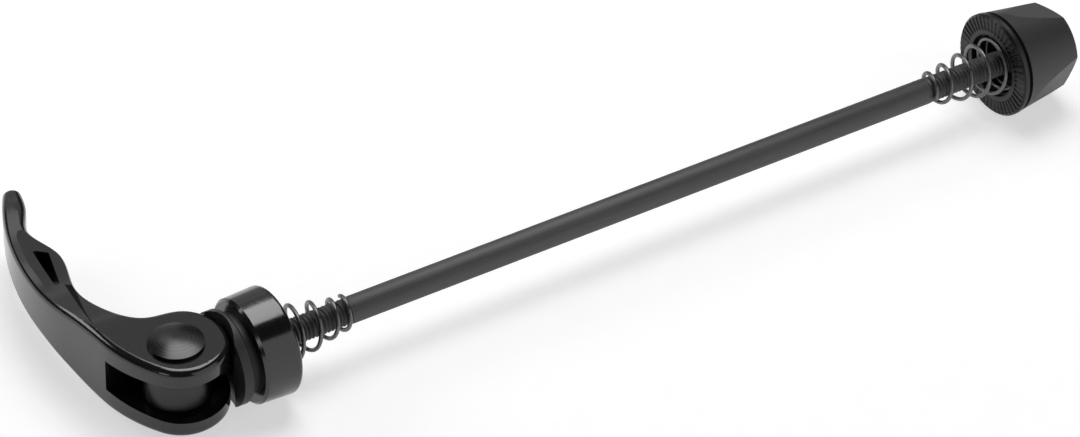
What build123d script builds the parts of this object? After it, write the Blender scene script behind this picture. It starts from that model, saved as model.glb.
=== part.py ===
"""Quick release skewer: cam lever, saddle and cup, sprung rod and cone nut.

The origin is the centre of the cup's clamping face, +X runs along the rod to the nut,
and +Z points up along the lever's pivot. The lever is closed, with its arm along +Y.
"""
from build123d import *

import os
from math import atan, cos, degrees, radians, sin, sqrt, tan

os.makedirs("parts", exist_ok=True)

# Clearances
RUN_FIT = 0.05  # radial, where one piece turns or screws in another
SEAT_FIT = 0.02  # radial, where one piece is pressed or screwed home
FREE_GAP = 0.3  # where pieces move past each other without a fit

# Rod
ROD_R = 2.5
THREAD_R = 2.42  # outer radius of the M5 ends
SHANK_START = 15.1  # thick shank, measured from the clamping face
SHANK_END = 142.0
ROD_TIP = 170.0
ROD_CHAMFER = 0.5

# Lever: cam, fork and arm, measured from the pivot
CAM_HIGH = 9.6  # closed cam, towards the cup
CAM_LOW = 7.4  # open cam, half a turn on
EAR_TURN = 38.0  # how far the closed cam carries round to the arm, degrees
FLANK_TURN = 57.0  # from the near end of the fork to the arm's outer face, degrees
FLANK_Y = 8.0  # where the arm's outer face starts
ARM_R = 61.0  # curve of the arm's outer face, straight nearer the fork
ARM_BELLY = 12.2  # furthest point of that curve from the pivot
ARM_BELLY_Y = 26.0
ARM_BEND_Y = 19.5  # where the straight runs into the curve
ARM_REACH = 56.8  # pivot to the end of the outer face
TIP_T = 3.9
TIP_HALF = 2.1
PAD_T = 4.7
NECK_T = 4.2
NECK_BACK = 11.8  # from the tip back to the neck
NECK_HALF = 4.4
BUMP_T = 7.9
BUMP_BACK = 21.2  # from the tip back to the thickest part of the arm
BUMP_HALF = 4.8
WAIST_T = 6.5
WAIST_HALF = 5.2
ROOT_T = 6.0
ROOT_Y = 17.5
SHOULDER = (-0.9, 9.7)  # where the arm runs into the ears, from the pivot
FORK_HALF = 7.3
LEVER_EDGE_R = 1.3
RIDGE = 9.7  # ridge of the arm's upper and lower face, outward of the pivot where the arm starts
RIDGE_LEAN = 0.12  # how much it nears the cup for each mm along the arm
BEVEL_SLOPE = 0.06  # fall from the ridge to the outer face
LEDGE_SLOPE = 0.28  # steeper fall to the sunk inner part of the face
LEDGE_SINK = 0.42
PANEL_RIM = 1.6  # raised rim beside the sunk panel round the window
PANEL_NEAR = 2.4  # how far the panel reaches past the window to the fork
PANEL_CORNER_R = 1.2
SLOT_END = 6.5
SLOT_NARROW = 6.4  # slot height at its closed end and, with draft, at the fork's mouth
SLOT_WIDE = 8.2
WINDOW_NEAR = 8.0  # window each way along the arm from its thickest part
WINDOW_FAR = 3.3
WINDOW_WALL = 3.4
WINDOW_RIM = 1.8
WINDOW_END = 1.0
WINDOW_CORNER_R = 0.4

# Pivot rivet and the eye it carries
PIN_R = 3.0
HEAD_R = 5.0
HEAD_SINK = 0.3
HEAD_EDGE = 0.9
HEAD_DOME = 0.9
EYE_R = 6.0
EYE_HALF = 3.0
NECK_R = 2.95
NECK_REACH = 12.0

# Saddle washer and cup
SADDLE_R = 8.8
SADDLE_WEB = 2.5  # thinnest part, under the cam
SADDLE_HORN = 1.3  # how far the sides stand up round the cam
SEAT_R = 11.0
SADDLE_EDGE_R = 0.6
SADDLE_GROOVE_W = 1.6  # groove between the saddle's rim and the cup
SADDLE_GROOVE_R = 7.5
SPIGOT_R = 6.5
SPIGOT_L = 2.0
CUP_DEPTH = 7.3
CUP_BACK_R = 9.8
CUP_FACE_R = 10.1
CUP_BACK_CHAMFER = 0.5
CUP_FACE_EDGE_R = 0.8
CUP_POCKET_R = 6.2
CUP_POCKET_DEPTH = 2.0

# Volute springs
WIRE_R = 0.4
COIL_SMALL_R = 3.0  # to the middle of the wire
CUP_COIL_R = 5.4
NUT_COIL_R = 5.3
CUP_SPRING_END = 14.65  # small end of each spring, from the clamping face
NUT_SPRING_END = 142.4
COIL_PITCH = 3.85
CUP_COIL_TURN = 236.0
NUT_COIL_TURN = 77.0

# Cone nut
NUT_FACE = 157.9  # clamping face of the nut, from that of the cup
RING_R = 10.2
RING_HOLE_R = 6.2
RING_T = 1.3
RING_EDGE = 0.5  # bevel round the clamping face
TEETH = 48
TOOTH_DEPTH = 0.3
TOOTH_LAND = 1.0  # plain band inside the teeth
NUT_R = 10.0
NUT_END_R = 8.2
NUT_L = 14.1
NUT_GROOVE_DEPTH = 0.9
NUT_GROOVE_W = 0.9
NUT_DOME = 1.2
NUT_POCKET_R = 5.9  # shelf for the spring's large end
NUT_POCKET_DEPTH = 2.6
NUT_FLATS = 3
NUT_FLAT_START = 3.4  # from the back of the ring
NUT_FLAT_SLOPE = 14.5  # degrees
NUT_FLAT_TURN = 11.0
INSERT_R = 4.5
INSERT_INSET = 5.0
INSERT_L = 6.0
LOCK_RING_L = 1.6
END_HOLE_R = 2.9

# Stations along the rod
saddle_back = -CUP_DEPTH
seat_x = saddle_back - SADDLE_WEB
pivot_x = seat_x - FREE_GAP - CAM_HIGH
nut_back = NUT_FACE + RING_T
nut_end = nut_back + NUT_L
nut_pocket_floor = nut_back + NUT_POCKET_DEPTH
insert_start = nut_back + INSERT_INSET
insert_end = insert_start + INSERT_L
lock_ring_end = insert_end + LOCK_RING_L
pivot_plane = Plane(origin=(pivot_x, 0, 0))
pivot_side = Plane(origin=(pivot_x, 0, 0), x_dir=(1, 0, 0), z_dir=(0, -1, 0))


def across(x):
    """Plane square to the rod at this distance from the clamping face, looking to the nut."""
    return Plane.YZ.offset(x)


def arm_point(y, inward=0.0):
    """Point of the arm in plan at this distance from the pivot, inward of its outer face."""
    bow = ARM_BELLY_Y - max(y, ARM_BEND_Y)
    outer = ARM_R - ARM_BELLY - sqrt(ARM_R**2 - bow**2)
    straight = max(ARM_BEND_Y - y, 0) * bow / sqrt(ARM_R**2 - bow**2)
    return (outer + straight + inward, y)


# Lever: forged arm with a two-eared cam fork
bump_y = ARM_REACH - BUMP_BACK
neck_y = ARM_REACH - NECK_BACK
waist_y = (ROOT_Y + bump_y) / 2
fall_y = (bump_y + neck_y) / 2
tip_y = (neck_y + ARM_REACH) / 2
near_y, far_y = bump_y - WINDOW_NEAR, bump_y + WINDOW_FAR
cam_mid = (CAM_HIGH + CAM_LOW) / 2
cam_step = (CAM_HIGH - cam_mid) / 2
high_r = (CAM_HIGH + cam_mid) / 2
low_r = (cam_mid + CAM_LOW) / 2


def under_crest(sink=0.0, slope=0.0):
    """All that lies under the lever's upper face, sunk by this much, rising from the ridge to the cup."""
    foot = -2 * FORK_HALF
    heights = {
        FLANK_Y: FORK_HALF,
        waist_y: WAIST_HALF - sink,
        bump_y: BUMP_HALF - sink,
        neck_y: NECK_HALF - sink / 4,
        ARM_REACH + TIP_T: TIP_HALF,
    }
    points = [(y, half - slope * RIDGE_LEAN * (y - FLANK_Y)) for y, half in heights.items()]
    with BuildPart() as block:
        with BuildSketch(across(pivot_x - RIDGE)):
            with BuildLine():
                crest = Spline(*points, tangents=((1, 0), (1, -0.8)))
                Polyline(
                    crest @ 0,
                    (-2 * CAM_HIGH, FORK_HALF),
                    (-2 * CAM_HIGH, foot),
                    (ARM_REACH + TIP_T, foot),
                    crest @ 1,
                )
            make_face()
        extrude(amount=2 * ARM_BELLY, dir=(1, 0, slope), both=True)
    return block.part


with BuildPart() as lever:
    with BuildSketch(pivot_plane):
        with BuildLine():
            high = CenterArc((cam_step, cam_step), high_r, EAR_TURN, -EAR_TURN - 90)
            low = CenterArc((cam_step, -cam_step), low_r, -90, -FLANK_TURN)
            flank = TangentArc(low @ 1, arm_point(FLANK_Y), tangent=low % 1)
            shank = Line(flank @ 1, arm_point(ARM_BEND_Y))
            face = ThreePointArc(shank @ 1, arm_point(bump_y), arm_point(ARM_REACH))
            cap = TangentArc(face @ 1, arm_point(ARM_REACH - TIP_T / 3, TIP_T), tangent=face % 1)
            Spline(
                cap @ 1,
                arm_point(tip_y, PAD_T),
                arm_point(neck_y, NECK_T),
                arm_point(fall_y, (NECK_T + BUMP_T) / 2),
                arm_point(bump_y, BUMP_T),
                arm_point(waist_y, WAIST_T),
                arm_point(ROOT_Y, ROOT_T),
                SHOULDER,
                high @ 0,
                tangents=(cap % 1, high % 0),
            )
        make_face()
    extrude(amount=FORK_HALF, both=True)
    add(under_crest(), mode=Mode.INTERSECT)
    add(under_crest().mirror(Plane.XY), mode=Mode.INTERSECT)
    fillet(lever.edges().filter_by(Axis.Z, reverse=True).filter_by(Axis.X, reverse=True), LEVER_EDGE_R)
    with BuildSketch(pivot_plane):
        Polygon(
            arm_point(near_y, PANEL_RIM),
            arm_point(bump_y, PANEL_RIM),
            arm_point(neck_y, PANEL_RIM),
            arm_point(neck_y, BUMP_T),
            arm_point(near_y - PANEL_NEAR, BUMP_T),
            align=None,
        )
        fillet(vertices().sort_by(Axis.X)[0], PANEL_CORNER_R)
    panel = extrude(amount=FORK_HALF, both=True, mode=Mode.PRIVATE)
    bevel = under_crest(slope=BEVEL_SLOPE)
    floor = under_crest(sink=LEDGE_SINK)
    ledge = floor + under_crest(slope=-LEDGE_SLOPE)
    for cut in (bevel, ledge):
        add(cut, mode=Mode.INTERSECT)
        add(cut.mirror(Plane.XY), mode=Mode.INTERSECT)
    add(panel - (floor & floor.mirror(Plane.XY)), mode=Mode.SUBTRACT)
    with BuildSketch(across(pivot_x)):
        Polygon(
            (SLOT_END, SLOT_NARROW / 2),
            (SLOT_END, -SLOT_NARROW / 2),
            (-CAM_HIGH, -SLOT_WIDE / 2),
            (-CAM_HIGH, SLOT_WIDE / 2),
            align=None,
        )
    extrude(amount=ARM_BELLY + CAM_HIGH, both=True, mode=Mode.SUBTRACT)
    with BuildSketch(pivot_plane):
        Polygon(
            arm_point(near_y, WINDOW_WALL),
            arm_point(far_y, WINDOW_WALL),
            arm_point(bump_y + WINDOW_FAR / 3, BUMP_T - WINDOW_RIM),
            arm_point(near_y, WINDOW_WALL + WINDOW_END),
            align=None,
        )
        fillet(vertices(), WINDOW_CORNER_R)
    extrude(amount=FORK_HALF, both=True, mode=Mode.SUBTRACT)
    with BuildSketch(pivot_plane):
        Circle(PIN_R + SEAT_FIT)
    extrude(amount=FORK_HALF, both=True, mode=Mode.SUBTRACT)
    for sink in (pivot_plane.offset(FORK_HALF), pivot_plane.offset(-FORK_HALF)):
        with BuildSketch(sink):
            Circle(HEAD_R + RUN_FIT)
        extrude(amount=HEAD_SINK, both=True, mode=Mode.SUBTRACT)
lever.part.label = "lever"
export_step(lever.part, "parts/lever.step")

# Pivot rivet: turned pin, domed over at both ends
head_z = FORK_HALF - HEAD_SINK
with BuildPart() as pivot_rivet:
    with BuildSketch(pivot_side):
        with BuildLine():
            rim = Polyline((0, 0), (PIN_R, 0), (PIN_R, head_z), (HEAD_R, head_z), (HEAD_R, head_z + HEAD_EDGE))
            dome_r = (HEAD_R**2 + HEAD_DOME**2) / (2 * HEAD_DOME)
            RadiusArc(rim @ 1, (0, head_z + HEAD_EDGE + HEAD_DOME), -dome_r)
            Line((0, head_z + HEAD_EDGE + HEAD_DOME), (0, 0))
        make_face()
    revolve(axis=Axis((pivot_x, 0, 0), (0, 0, 1)))
    mirror(about=Plane.XY)
pivot_rivet.part.label = "pivot_rivet"
export_step(pivot_rivet.part, "parts/pivot_rivet.step")

# Rod eye: barrel on the rivet with a tapped neck for the rod
with BuildPart() as rod_eye:
    with BuildSketch(pivot_plane):
        Circle(EYE_R)
    extrude(amount=EYE_HALF, both=True)
    with BuildSketch(across(pivot_x)):
        Circle(NECK_R)
    extrude(amount=NECK_REACH)
    with BuildSketch(pivot_plane):
        Circle(PIN_R + RUN_FIT)
    extrude(amount=EYE_HALF, both=True, mode=Mode.SUBTRACT)
    with BuildSketch(across(pivot_x)):
        Circle(THREAD_R + SEAT_FIT)
    extrude(amount=NECK_REACH, mode=Mode.SUBTRACT)
rod_eye.part.label = "rod_eye"
export_step(rod_eye.part, "parts/rod_eye.step")

# Skewer rod: thick shank with a thinner rolled thread at each end
step = ROD_R - THREAD_R
with BuildPart() as skewer_rod:
    with BuildSketch(Plane.XZ):
        with BuildLine():
            Polyline(
                (pivot_x + PIN_R + FREE_GAP, 0),
                (pivot_x + PIN_R + FREE_GAP, THREAD_R),
                (SHANK_START - step, THREAD_R),
                (SHANK_START, ROD_R),
                (SHANK_END, ROD_R),
                (SHANK_END + step, THREAD_R),
                (ROD_TIP - ROD_CHAMFER, THREAD_R),
                (ROD_TIP, THREAD_R - ROD_CHAMFER),
                (ROD_TIP, 0),
                close=True,
            )
        make_face()
    revolve(axis=Axis.X)
skewer_rod.part.label = "skewer_rod"
export_step(skewer_rod.part, "parts/skewer_rod.step")

# Saddle washer: moulded seat between the cam and the cup
with BuildPart() as saddle_washer:
    with BuildSketch(across(seat_x - SADDLE_HORN)):
        Circle(SADDLE_R)
    extrude(amount=SADDLE_HORN + SADDLE_WEB - SADDLE_GROOVE_W)
    fillet(saddle_washer.edges().group_by(Axis.X)[-1], SADDLE_EDGE_R)
    with BuildSketch(across(saddle_back - SADDLE_GROOVE_W)):
        Circle(SADDLE_GROOVE_R)
    extrude(amount=SADDLE_GROOVE_W)
    with BuildSketch(across(saddle_back)):
        Circle(SPIGOT_R)
    extrude(amount=SPIGOT_L)
    with BuildSketch(Plane(origin=(seat_x - SEAT_R, 0, 0))):
        Circle(SEAT_R)
    extrude(amount=SADDLE_R, both=True, mode=Mode.SUBTRACT)
    with BuildSketch(across(seat_x - SADDLE_HORN)):
        Circle(NECK_R + FREE_GAP)
    extrude(amount=SADDLE_HORN + SADDLE_WEB + SPIGOT_L, mode=Mode.SUBTRACT)
saddle_washer.part.label = "saddle_washer"
export_step(saddle_washer.part, "parts/saddle_washer.step")

# Cup: turned clamping cap with a pocket for the spring
with BuildPart() as end_cup:
    with BuildSketch(Plane.XZ):
        with BuildLine():
            Polyline(
                (saddle_back, SPIGOT_R + SEAT_FIT),
                (saddle_back, CUP_BACK_R),
                (0, CUP_FACE_R),
                (0, CUP_POCKET_R),
                (-CUP_POCKET_DEPTH, CUP_POCKET_R),
                (-CUP_POCKET_DEPTH, ROD_R + FREE_GAP),
                (saddle_back + SPIGOT_L, ROD_R + FREE_GAP),
                (saddle_back + SPIGOT_L, SPIGOT_R + SEAT_FIT),
                close=True,
            )
        make_face()
    revolve(axis=Axis.X)
    rims = end_cup.edges().filter_by(GeomType.CIRCLE)
    chamfer(rims.group_by(Axis.X)[0].sort_by(SortBy.RADIUS)[-1], CUP_BACK_CHAMFER)
    rims = end_cup.edges().filter_by(GeomType.CIRCLE)
    fillet(rims.group_by(Axis.X)[-1].sort_by(SortBy.RADIUS)[-1], CUP_FACE_EDGE_R)
end_cup.part.label = "end_cup"
export_step(end_cup.part, "parts/end_cup.step")


def volute_spring(small_x, large_x, large_r, turn):
    """Conical coil of round wire about the rod, from its small end to its large end."""
    way = 1 if large_x > small_x else -1
    height = abs(large_x - small_x)
    with BuildPart() as spring:
        with BuildLine():
            coil = Helix(
                pitch=COIL_PITCH,
                height=height,
                radius=COIL_SMALL_R,
                center=(small_x, 0, 0),
                direction=(way, 0, 0),
                cone_angle=degrees(atan((large_r - COIL_SMALL_R) / height)),
                lefthand=True,
            )
        with BuildSketch(Plane(origin=coil @ 0, z_dir=coil % 0)):
            Circle(WIRE_R)
        sweep(path=coil, is_frenet=True)
    return spring.part.rotate(Axis.X, turn)


# Springs: small ends on the rod, large ends in the cup's and the nut's pockets
lever_spring = volute_spring(
    CUP_SPRING_END, -CUP_POCKET_DEPTH + WIRE_R + SEAT_FIT, CUP_COIL_R, CUP_COIL_TURN
)
lever_spring.label = "lever_spring"
export_step(lever_spring, "parts/lever_spring.step")

nut_spring = volute_spring(
    NUT_SPRING_END, nut_pocket_floor - WIRE_R - SEAT_FIT, NUT_COIL_R, NUT_COIL_TURN
)
nut_spring.label = "nut_spring"
export_step(nut_spring, "parts/nut_spring.step")

# Nut face ring: steel clamping ring with radial teeth
with BuildPart() as nut_face_ring:
    with BuildSketch(across(NUT_FACE)):
        Circle(RING_R)
        Circle(RING_HOLE_R, mode=Mode.SUBTRACT)
    extrude(amount=RING_T)
    chamfer(nut_face_ring.edges().group_by(Axis.X)[0].sort_by(SortBy.RADIUS)[-1], RING_EDGE)
    with BuildSketch(Plane.XY.offset(RING_HOLE_R + TOOTH_LAND)):
        Polygon(
            (NUT_FACE, TOOTH_DEPTH),
            (NUT_FACE, -TOOTH_DEPTH),
            (NUT_FACE + TOOTH_DEPTH, 0),
            align=None,
        )
    notch = extrude(amount=RING_R, mode=Mode.PRIVATE)
    for tooth in range(TEETH):
        add(notch.rotate(Axis.X, 360 / TEETH * tooth), mode=Mode.SUBTRACT)
nut_face_ring.part.label = "nut_face_ring"
export_step(nut_face_ring.part, "parts/nut_face_ring.step")

# Nut body: moulded cone with finger flats
cone_slope = (NUT_R - NUT_END_R) / NUT_L
with BuildPart() as nut_body:
    with BuildSketch(Plane.XZ):
        with BuildLine():
            Polyline(
                (nut_pocket_floor, INSERT_R + SEAT_FIT),
                (nut_pocket_floor, NUT_POCKET_R),
                (nut_back, NUT_POCKET_R),
                (nut_back, NUT_R - NUT_GROOVE_DEPTH),
                (nut_back + NUT_GROOVE_W, NUT_R - NUT_GROOVE_DEPTH),
                (nut_back + NUT_GROOVE_W, NUT_R),
                (nut_end - NUT_DOME, NUT_END_R + NUT_DOME * cone_slope),
            )
            dome_edge = (nut_end - NUT_DOME, NUT_END_R + NUT_DOME * cone_slope)
            crown = ThreePointArc(
                dome_edge,
                (nut_end - NUT_DOME / 4, (dome_edge[1] + END_HOLE_R) / 2),
                (nut_end, END_HOLE_R),
            )
            Polyline(
                crown @ 1,
                (lock_ring_end, END_HOLE_R),
                (lock_ring_end, INSERT_R + SEAT_FIT),
                (nut_pocket_floor, INSERT_R + SEAT_FIT),
            )
        make_face()
    revolve(axis=Axis.X)
    flat_r = NUT_R - NUT_FLAT_START * cone_slope
    for flat in range(NUT_FLATS):
        turn = radians(NUT_FLAT_TURN + 360 / NUT_FLATS * flat)
        out = Vector(0, sin(turn), cos(turn))
        inward = -out - Vector(tan(radians(NUT_FLAT_SLOPE)), 0, 0)
        split(bisect_by=Plane(origin=out * flat_r + Vector(nut_back + NUT_FLAT_START, 0, 0), z_dir=inward))
nut_body.part.label = "nut_body"
export_step(nut_body.part, "parts/nut_body.step")


def tapped_bush(front_x, length):
    """Round bush in the nut, running on the rod's thread."""
    with BuildPart() as bush:
        with BuildSketch(across(front_x)):
            Circle(INSERT_R)
            Circle(THREAD_R + RUN_FIT, mode=Mode.SUBTRACT)
        extrude(amount=length)
    return bush.part


# Nut insert: tapped steel bush, and behind it the nylon ring that stops the nut creeping
nut_insert = tapped_bush(insert_start, INSERT_L)
nut_insert.label = "nut_insert"
export_step(nut_insert, "parts/nut_insert.step")

nut_lock_ring = tapped_bush(insert_end, LOCK_RING_L)
nut_lock_ring.label = "nut_lock_ring"
export_step(nut_lock_ring, "parts/nut_lock_ring.step")
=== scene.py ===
"""Quick release skewer, dressed for the camera.

The sections follow the skewer as it is put together, from the rod outwards. Sizes are in
millimetres, in the part's own frame: the origin is the middle of the cup's clamping face,
+X runs along the rod to the nut and +Z points up along the lever's pivot.
"""
from math import cos, pi, radians, sin, tau

import bpy
import numpy as np
from mathutils import Matrix, Vector


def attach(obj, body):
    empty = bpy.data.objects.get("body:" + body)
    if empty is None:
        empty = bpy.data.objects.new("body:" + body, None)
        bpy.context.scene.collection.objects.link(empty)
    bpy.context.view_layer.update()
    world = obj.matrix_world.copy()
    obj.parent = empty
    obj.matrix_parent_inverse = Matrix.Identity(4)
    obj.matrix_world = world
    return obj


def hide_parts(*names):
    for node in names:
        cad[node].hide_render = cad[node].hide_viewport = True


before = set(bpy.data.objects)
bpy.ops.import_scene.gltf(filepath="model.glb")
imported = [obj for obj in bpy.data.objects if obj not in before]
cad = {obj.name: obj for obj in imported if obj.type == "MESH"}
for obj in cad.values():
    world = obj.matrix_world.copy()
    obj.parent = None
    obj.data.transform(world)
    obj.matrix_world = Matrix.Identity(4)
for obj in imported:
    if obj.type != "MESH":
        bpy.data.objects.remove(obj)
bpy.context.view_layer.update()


# Skewer rod: drawn steel rod with an M5 thread rolled on at each end, then blackened in a hot
# oxide bath. The shank keeps faint drawing lines along its length, and the thread runs out
# against the thicker shank.
MM = 0.001
ROD_R = 2.5
ROD_BACK, ROD_TIP = -16.4, 170.0
SHANK_START, SHANK_END = 15.1, 142.0
ROD_SIDES = 64
CREST_R, ROOT_R = 2.42, 2.02
THREAD_PITCH = 0.8
THREAD_STEPS = 10  # rows of points in one pitch
FLANK_SLOPE, ROOT_FLAT = 1.3, 0.12  # shares of the thread's depth that shape its profile
RUN_OUT = 1.0  # length over which the thread fades out beside the shank
TIP_BEVEL = 0.5
BEVEL_START = 0.1  # the bevel's cone begins this far outside the crests
DRAWN_LENGTH, DRAWN_GAP = 14, 0.25  # drawing lines along the rod, and how far apart they are
MARK_RANGE = (0.3, 0.7)  # the part of a noise's range that its marks fill
GRAIN_DETAIL = 3.0


def linear(hex_colour):
    """Linear colour of an sRGB hex value, with full alpha."""
    shares = [int(hex_colour[i : i + 2], 16) / 255 for i in (1, 3, 5)]
    return (*(s / 12.92 if s <= 0.04045 else ((s + 0.055) / 1.055) ** 2.4 for s in shares), 1.0)


def add_node(tree, kind, settings=None, links=None):
    """Adds one node, sets its properties and sockets, and links its inputs."""
    node = tree.nodes.new(kind)
    for name, value in (settings or {}).items():
        if isinstance(name, int) or name in node.inputs:
            node.inputs[name].default_value = value
        else:
            setattr(node, name, value)
    for name, source in (links or {}).items():
        tree.links.new(source, node.inputs[name])
    return node


def new_material(name, **constants):
    """A material with its shader and output joined, and the shader's constant values set."""
    material = bpy.data.materials.new(name)
    material.use_nodes = True
    tree = material.node_tree
    tree.nodes.clear()
    shader = add_node(tree, "ShaderNodeBsdfPrincipled", constants)
    add_node(tree, "ShaderNodeOutputMaterial", links={"Surface": shader.outputs["BSDF"]})
    return material, tree, shader


def surface(tree, shader, marks, tones, roughness, depth):
    """Lets one pattern of marks vary a finish: its tone, roughness and, in mm, its height."""
    low, high = MARK_RANGE
    tone = add_node(tree, "ShaderNodeValToRGB", links={"Fac": marks})
    for element, shade, share in zip(tone.color_ramp.elements, tones, MARK_RANGE):
        element.color = linear(shade)
        element.position = share
    rough = add_node(
        tree,
        "ShaderNodeMapRange",
        {"From Min": low, "From Max": high, "To Min": roughness[0], "To Max": roughness[1]},
        {"Value": marks},
    )
    relief = add_node(tree, "ShaderNodeBump", {"Distance": depth * MM}, {"Height": marks})
    tree.links.new(tone.outputs["Color"], shader.inputs["Base Color"])
    tree.links.new(rough.outputs["Result"], shader.inputs["Roughness"])
    tree.links.new(relief.outputs["Normal"], shader.inputs["Normal"])


def grain(tree, width, length=None):
    """Pattern of soft marks this wide in mm, or lines this long along the rod and that far apart."""
    place = add_node(tree, "ShaderNodeTexCoord")
    stretch = add_node(
        tree,
        "ShaderNodeMapping",
        {"Scale": [1 / (size * MM) for size in (length or width, width, width)]},
        {"Vector": place.outputs["Object"]},
    )
    marks = add_node(
        tree,
        "ShaderNodeTexNoise",
        {"Scale": 1.0, "Detail": GRAIN_DETAIL},
        {"Vector": stretch.outputs["Vector"]},
    )
    return marks.outputs["Fac"]


def mesh_piece(name, points_mm, faces, material):
    """One smooth mesh object from points in millimetres."""
    mesh = bpy.data.meshes.new(name)
    mesh.from_pydata([tuple(c * MM for c in p) for p in points_mm], [], faces)
    mesh.materials.append(material)
    mesh.polygons.foreach_set("use_smooth", [True] * len(mesh.polygons))
    mesh.update()
    piece = bpy.data.objects.new(name, mesh)
    bpy.context.scene.collection.objects.link(piece)
    return piece


def skin_rings(rings):
    """Points and faces of a closed tube through rings of points that all have the same count."""
    sides = len(rings[0])
    points = [p for ring in rings for p in ring]
    faces = []
    for row in range(len(rings) - 1):
        for k in range(sides):
            a, b = row * sides + k, row * sides + (k + 1) % sides
            faces.append((a, b, b + sides, a + sides))
    faces.append(tuple(reversed(range(sides))))
    faces.append(tuple(range(len(points) - sides, len(points))))
    return points, faces


def thread_radius(x, turn):
    """Radius of the right-hand thread here: straight flanks between narrow roots and crests."""
    phase = (x / THREAD_PITCH - turn / tau) % 1.0
    flank = abs(phase - 0.5) * 2
    height = min(1.0, max(0.0, FLANK_SLOPE * flank - ROOT_FLAT))
    return ROOT_R + (CREST_R - ROOT_R) * height


def rod_radius(x, turn):
    """Radius of the rod at this station: plain shank, fading thread, or bevelled tip."""
    outside = max(SHANK_START - x, x - SHANK_END)
    if outside <= 0:
        return ROD_R
    fade = min(1.0, outside / RUN_OUT)
    plain = ROD_R + (CREST_R - ROD_R) * fade
    bevel = max(0.0, TIP_BEVEL - (ROD_TIP - x))
    return min(plain + (thread_radius(x, turn) - CREST_R) * fade, CREST_R + BEVEL_START - bevel)


# Black oxide on drawn steel: an even dark grey with a soft sheen and faint lines lengthways.
# The lines are drawn 0.25 mm apart, coarser than real ones, so that they show.
rod_steel, tree, shader = new_material("blackened_steel_drawn", Metallic=1.0)
marks = grain(tree, DRAWN_GAP, DRAWN_LENGTH)
surface(tree, shader, marks, tones=("#555555", "#676767"), roughness=(0.55, 0.7), depth=0.004)

thread_row = THREAD_PITCH / THREAD_STEPS
stations = list(np.arange(ROD_BACK, SHANK_START, thread_row))
stations += [SHANK_START, SHANK_END]
stations += list(np.arange(SHANK_END, ROD_TIP, thread_row))[1:] + [ROD_TIP]
turns = [tau * k / ROD_SIDES for k in range(ROD_SIDES)]
rings = []
for x in stations:
    radii = [rod_radius(x, turn) for turn in turns]
    rings.append([(x, r * cos(turn), r * sin(turn)) for r, turn in zip(radii, turns)])
rod = mesh_piece("skewer_rod_threaded", *skin_rings(rings), rod_steel)
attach(rod, "rod")
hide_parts("skewer_rod")


# Rod eye: steel barrel turned on a lathe, with a tapped neck that the rod screws into. It sits
# on the rivet between the fork's ears, and is plated black.
PIVOT = (-19.7, 0.0, 0.0)
PIVOT_WAY = (0, 0, 1)
ROD_WAY = (1, 0, 0)
EYE_RINGS = 0.3
RING_DETAIL = 2.0


def turned_marks(tree, spacing, axis=ROD_WAY, centre=(0, 0, 0)):
    """Pattern of the fine rings that a lathe leaves round an axis, this far apart in mm."""
    place = add_node(tree, "ShaderNodeTexCoord")
    arm = add_node(
        tree,
        "ShaderNodeVectorMath",
        {"operation": "SUBTRACT", 1: [c * MM for c in centre]},
        {0: place.outputs["Object"]},
    )
    foot = add_node(
        tree, "ShaderNodeVectorMath", {"operation": "PROJECT", 1: axis}, {0: arm.outputs["Vector"]}
    )
    spoke = add_node(
        tree,
        "ShaderNodeVectorMath",
        {"operation": "SUBTRACT"},
        {0: arm.outputs["Vector"], 1: foot.outputs["Vector"]},
    )
    radius = add_node(
        tree, "ShaderNodeVectorMath", {"operation": "LENGTH"}, {0: spoke.outputs["Vector"]}
    )
    along = add_node(
        tree, "ShaderNodeVectorMath", {"operation": "DOT_PRODUCT", 1: axis}, {0: arm.outputs["Vector"]}
    )
    ring = add_node(
        tree,
        "ShaderNodeCombineXYZ",
        links={"X": along.outputs["Value"], "Y": radius.outputs["Value"]},
    )
    marks = add_node(
        tree,
        "ShaderNodeTexNoise",
        {"Scale": 1 / (spacing * MM), "Detail": RING_DETAIL},
        {"Vector": ring.outputs["Vector"]},
    )
    return marks.outputs["Fac"]


def dress(node, material):
    """Gives a CAD node its material, shaded by the normals that it came with."""
    piece = cad[node]
    piece.data.materials.clear()
    piece.data.materials.append(material)
    piece.data.polygons.foreach_set("use_smooth", [True] * len(piece.data.polygons))


# Black plate over turned steel: dark, a little glossy, with rings 0.3 mm apart round the pivot,
# coarser than real ones.
eye_steel, tree, shader = new_material("black_plated_steel_turned", Metallic=1.0)
marks = turned_marks(tree, EYE_RINGS, PIVOT_WAY, PIVOT)
surface(tree, shader, marks, tones=("#3a3a3a", "#464646"), roughness=(0.3, 0.37), depth=0.0004)
dress("rod_eye", eye_steel)


# Lever: forged aluminium with a milled slot and window, blasted and anodised black. Its two
# ears are the cam, and the long arm curves in towards the spokes.
BLAST_GRAIN = 0.2

# Anodised film over a fine blast: a dark, clear gloss, with grain drawn 0.2 mm wide to show.
lever_alloy, tree, shader = new_material("anodised_aluminium_satin_black", IOR=1.58)
marks = grain(tree, BLAST_GRAIN)
surface(tree, shader, marks, tones=("#0e0e0e", "#151515"), roughness=(0.12, 0.16), depth=0.0006)
dress("lever", lever_alloy)


# Pivot rivet: steel pin set through both ears, with a low domed head pressed over each end.
# It turns in the eye with the lever.
HEAD_RINGS = 0.4

# Black plate over a closed dome: smoother and paler than the lever, with faint rings from the
# tool that closed it, drawn 0.4 mm apart.
rivet_steel, tree, shader = new_material("black_plated_steel_domed", Metallic=1.0)
marks = turned_marks(tree, HEAD_RINGS, PIVOT_WAY, PIVOT)
surface(tree, shader, marks, tones=("#3b3b3b", "#434343"), roughness=(0.24, 0.28), depth=0.0003)
dress("pivot_rivet", rivet_steel)


# Saddle washer: moulded black nylon pad with a curved seat that the cam slides on, plugged into
# the back of the cup.
MOULD_GRAIN = 0.25

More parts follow.
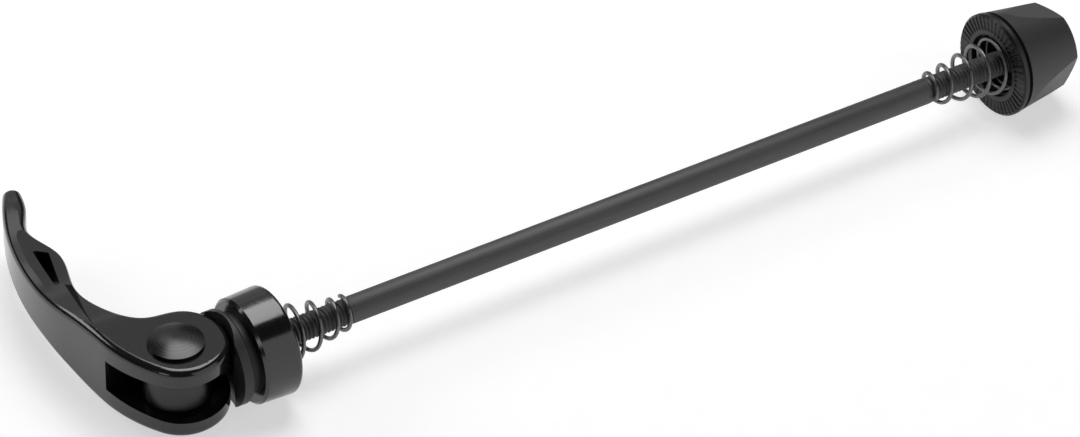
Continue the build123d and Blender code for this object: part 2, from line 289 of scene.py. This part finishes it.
# Nylon from an etched mould: matte black, with grain about 0.25 mm wide.
saddle_nylon, tree, shader = new_material("moulded_nylon_black", IOR=1.53)
marks = grain(tree, MOULD_GRAIN)
surface(tree, shader, marks, tones=("#161616", "#1f1f1f"), roughness=(0.45, 0.6), depth=0.006)
dress("saddle_washer", saddle_nylon)


# End cup: aluminium cap turned from bar, polished and anodised black. Its flat front clamps the
# frame, and the pocket in it holds the spring.
CUP_RINGS = 0.35

# Anodised film over a polish: the deepest black of all, with sharp highlights and faint turning
# rings, drawn 0.35 mm apart so that they show.
cup_alloy, tree, shader = new_material("anodised_aluminium_gloss_black", IOR=1.65)
marks = turned_marks(tree, CUP_RINGS)
surface(tree, shader, marks, tones=("#040404", "#080808"), roughness=(0.12, 0.18), depth=0.0006)
dress("end_cup", cup_alloy)


# Lever spring: volute wound left-handed from round spring wire. Its small end closes up on the
# rod and its large end sits in the cup.
WIRE_R = 0.4
WIRE_SIDES = 14
WIRE_GRAIN = 0.5
TURN_STEPS = 72
COIL_START = radians(46.6)  # upper back side of the rod, uppermost in the photograph
CUP_COIL_PLACES = (14.4, 12.2, 8.3, 4.3, 0.4, -1.56)  # along the rod, one turn apart
CUP_COIL_RADII = (2.95, 3.05, 3.9, 4.7, 5.35, 5.4)


def eased(values):
    """Values given once a turn, filled in for each step and rounded off over half a turn."""
    last = len(values) - 1
    steps = np.linspace(0, last, last * TURN_STEPS + 1)
    filled = np.interp(steps, np.arange(last + 1), values)
    window = np.hanning(TURN_STEPS // 2 + 1)
    padded = np.pad(filled, len(window) // 2, mode="reflect", reflect_type="odd")
    return np.convolve(padded, window / window.sum(), mode="valid")


def volute_spring(name, material, places, radii, start, way):
    """Wire coil with these places along the rod and radii, wound this way from its start."""
    middle = []
    for k, (x, radius) in enumerate(zip(eased(places), eased(radii))):
        turn = start + way * tau * k / TURN_STEPS
        middle.append(Vector((x, radius * cos(turn), radius * sin(turn))))
    last = len(middle) - 1
    rings = []
    for k, point in enumerate(middle):
        ahead = (middle[min(k + 1, last)] - middle[max(k - 1, 0)]).normalized()
        outward = Vector((0, point.y, point.z)).normalized()
        outward = (outward - ahead * outward.dot(ahead)).normalized()
        aside = ahead.cross(outward)
        ring = []
        for side in range(WIRE_SIDES):
            angle = tau * side / WIRE_SIDES
            ring.append(point + WIRE_R * (cos(angle) * outward + sin(angle) * aside))
        rings.append(ring)
    return mesh_piece(name, *skin_rings(rings), material)


# Blackened spring wire: the drawn surface keeps a brighter sheen than the rod's, clouded about
# every 0.5 mm.
wire_steel, tree, shader = new_material("spring_steel_wire_drawn", Metallic=1.0)
marks = grain(tree, WIRE_GRAIN)
surface(tree, shader, marks, tones=("#5e5e5e", "#7a7a7a"), roughness=(0.28, 0.42), depth=0.002)

cup_coil = volute_spring(
    "lever_spring_coil", wire_steel, CUP_COIL_PLACES, CUP_COIL_RADII, start=COIL_START, way=1
)
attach(cup_coil, "cup")
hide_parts("lever_spring")


# Nut spring: the lever spring's twin at the far end, wound from the same wire. Its small end
# rests on the rod and its large end on a shelf in the nut.
NUT_COIL_TURN = radians(140)  # how far round from the lever spring's start it begins
NUT_COIL_PLACES = (142.5, 145.6, 149.9, 153.7, 157.3, 160.2, 161.35)
NUT_COIL_RADII = (2.95, 3.3, 4.0, 4.65, 5.2, 5.3, 5.3)

nut_coil = volute_spring(
    "nut_spring_coil",
    wire_steel,
    NUT_COIL_PLACES,
    NUT_COIL_RADII,
    start=COIL_START + NUT_COIL_TURN,
    way=-1,
)
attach(nut_coil, "nut_carrier")
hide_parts("nut_spring")


# Nut body: cone nut turned from aluminium with three milled finger flats, blasted and anodised.
# The bush that carries its thread is pressed in.
NUT_GRAIN = 0.4

# Anodised film over a coarse blast: matte, and a little paler than the cup, with grain drawn
# 0.4 mm wide.
nut_alloy, tree, shader = new_material("anodised_aluminium_matte_black", IOR=1.6)
marks = grain(tree, NUT_GRAIN)
surface(tree, shader, marks, tones=("#252525", "#2f2f2f"), roughness=(0.42, 0.55), depth=0.006)
dress("nut_body", nut_alloy)


# Nut face ring: hardened steel ring with stamped radial teeth that bite the frame, pressed on
# the nut.
RUBBED_RINGS = 0.6

# Black plate that has rubbed thin: dark grey, with the steel showing through in rings about
# 0.6 mm apart.
ring_steel, tree, shader = new_material("black_plated_steel_rubbed", Metallic=1.0)
marks = turned_marks(tree, RUBBED_RINGS)
surface(tree, shader, marks, tones=("#2e2e2e", "#464646"), roughness=(0.34, 0.48), depth=0.003)
dress("nut_face_ring", ring_steel)


# Nut insert and lock ring: a tapped steel bush pressed in the nut, and a nylon ring behind it
# that grips the thread so that the nut can't creep.
BUSH_RINGS = 0.4
NYLON_CLOUDS = 2

# Black oxide on turned steel: a dull dark grey, with tool rings drawn 0.4 mm apart.
bush_steel, tree, shader = new_material("blackened_steel_turned", Metallic=1.0)
marks = turned_marks(tree, BUSH_RINGS)
surface(tree, shader, marks, tones=("#383838", "#4c4c4c"), roughness=(0.32, 0.45), depth=0.003)
dress("nut_insert", bush_steel)

# Undyed nylon: milky off-white, with slight cloudiness about 2 mm across.
lock_nylon, tree, shader = new_material("moulded_nylon_natural", IOR=1.53)
marks = grain(tree, NYLON_CLOUDS)
surface(tree, shader, marks, tones=("#cfcbbd", "#dcd9cd"), roughness=(0.4, 0.5), depth=0.004)
dress("nut_lock_ring", lock_nylon)


# Floor: a sheet of white paper that the skewer lies on. To the camera, and in reflections, part
# of its white is its own light, so that it comes out white but keeps the skewer's shadow.
FLOOR_Z = -10.22
FLOOR_HALF = 4000
FLOOR_CORNERS = ((-1, -1), (1, -1), (1, 1), (-1, 1))
FLOOR_GLOW = 0.55
PAPER_TOOTH = 3

# Uncoated paper: matte white, with a tooth drawn 3 mm wide.
paper, tree, shader = new_material("white_paper")
marks = grain(tree, PAPER_TOOTH)
surface(tree, shader, marks, tones=("#c6c6c6", "#cacaca"), roughness=(0.85, 0.95), depth=0.01)
ray = add_node(tree, "ShaderNodeLightPath")
seen = add_node(
    tree,
    "ShaderNodeMath",
    {"operation": "MAXIMUM"},
    {0: ray.outputs["Is Camera Ray"], 1: ray.outputs["Is Glossy Ray"]},
)
glow = add_node(
    tree, "ShaderNodeMath", {"operation": "MULTIPLY", 1: FLOOR_GLOW}, {0: seen.outputs["Value"]}
)
shader.inputs["Emission Color"].default_value = linear("#ffffff")
tree.links.new(glow.outputs["Value"], shader.inputs["Emission Strength"])
floor_points = [(FLOOR_HALF * x, FLOOR_HALF * y, FLOOR_Z) for x, y in FLOOR_CORNERS]
floor = mesh_piece("floor", floor_points, [(0, 1, 2, 3)], paper)


# Studio light: a large soft box above and a little behind, and a smaller one on the left. Lit
# cards at the back and at either side in front are there for the black gloss to mirror, and the
# room round them is dim.
ROOM_LIGHT = 0.06
LAMP_REACH = 900
LAMP_AIM = Vector((55, 0, 0))
world = bpy.data.worlds.new("studio")
bpy.context.scene.world = world
world.use_nodes = True
room = world.node_tree.nodes["Background"]
room.inputs["Color"].default_value = linear("#ffffff")
room.inputs["Strength"].default_value = ROOM_LIGHT


def soft_lamp(name, way, width, height, brightness):
    """A soft box or lit card that faces the skewer from this way, as bright as given."""
    lamp = bpy.data.lights.new(name, "AREA")
    lamp.shape = "RECTANGLE"
    lamp.size = width * MM
    lamp.size_y = height * MM
    lamp.energy = brightness * pi * lamp.size * lamp.size_y
    stand = bpy.data.objects.new(name, lamp)
    aim = LAMP_AIM * MM
    stand.location = aim + Vector(way).normalized() * LAMP_REACH * MM
    stand.rotation_euler = (aim - stand.location).to_track_quat("-Z", "Y").to_euler()
    bpy.context.scene.collection.objects.link(stand)


soft_lamp("overhead_soft_box", way=(0.22, 0.28, 0.94), width=560, height=560, brightness=4.9)
soft_lamp("left_soft_box", way=(-0.52, 0.66, 0.5), width=420, height=280, brightness=4.0)
soft_lamp("back_card", way=(0.45, 0.68, 0.68), width=900, height=350, brightness=0.42)
soft_lamp("low_back_card", way=(0.12, 0.95, 0.27), width=640, height=470, brightness=0.4)
soft_lamp("upper_card", way=(0.12, 0.72, 0.69), width=150, height=230, brightness=1.15)
soft_lamp("front_card", way=(0.44, -0.88, 0.35), width=1000, height=820, brightness=0.9)
soft_lamp("left_card", way=(-0.88, -0.3, 0.33), width=300, height=260, brightness=2.0)


# Camera: where the photograph was taken from, worked out from the rod, the cup and the nut.
# It has a long lens, about 0.8 m away, and looks down from the lever's end, rolled by 2 degrees.
CAMERA_AZ, CAMERA_EL, CAMERA_ROLL = radians(-34.347), radians(38.003), radians(2.084)
CAMERA_REACH = 824.175
CAMERA_TARGET = Vector((55.3, 0, 0))
CAMERA_SLIDE = (0.031, 3.459)  # sideways and up in the picture's plane
LENS_LENGTH, SENSOR_WIDTH = 152.33, 36.0
back = Vector((sin(CAMERA_AZ) * cos(CAMERA_EL), -cos(CAMERA_AZ) * cos(CAMERA_EL), sin(CAMERA_EL)))
right = (-back).cross(Vector((0, 0, 1))).normalized()
up = right.cross(-back)
level = cos(CAMERA_ROLL) * right + sin(CAMERA_ROLL) * up
rise = cos(CAMERA_ROLL) * up - sin(CAMERA_ROLL) * right
spot = CAMERA_TARGET + back * CAMERA_REACH + level * CAMERA_SLIDE[0] + rise * CAMERA_SLIDE[1]
lens = bpy.data.cameras.new("camera")
lens.sensor_fit = "HORIZONTAL"
lens.sensor_width = SENSOR_WIDTH
lens.lens = LENS_LENGTH
camera = bpy.data.objects.new("camera", lens)
camera.matrix_world = Matrix((level, rise, back)).transposed().to_4x4()
camera.location = spot * MM
bpy.context.scene.collection.objects.link(camera)
bpy.context.scene.camera = camera
bpy.context.scene.view_settings.view_transform = "Standard"
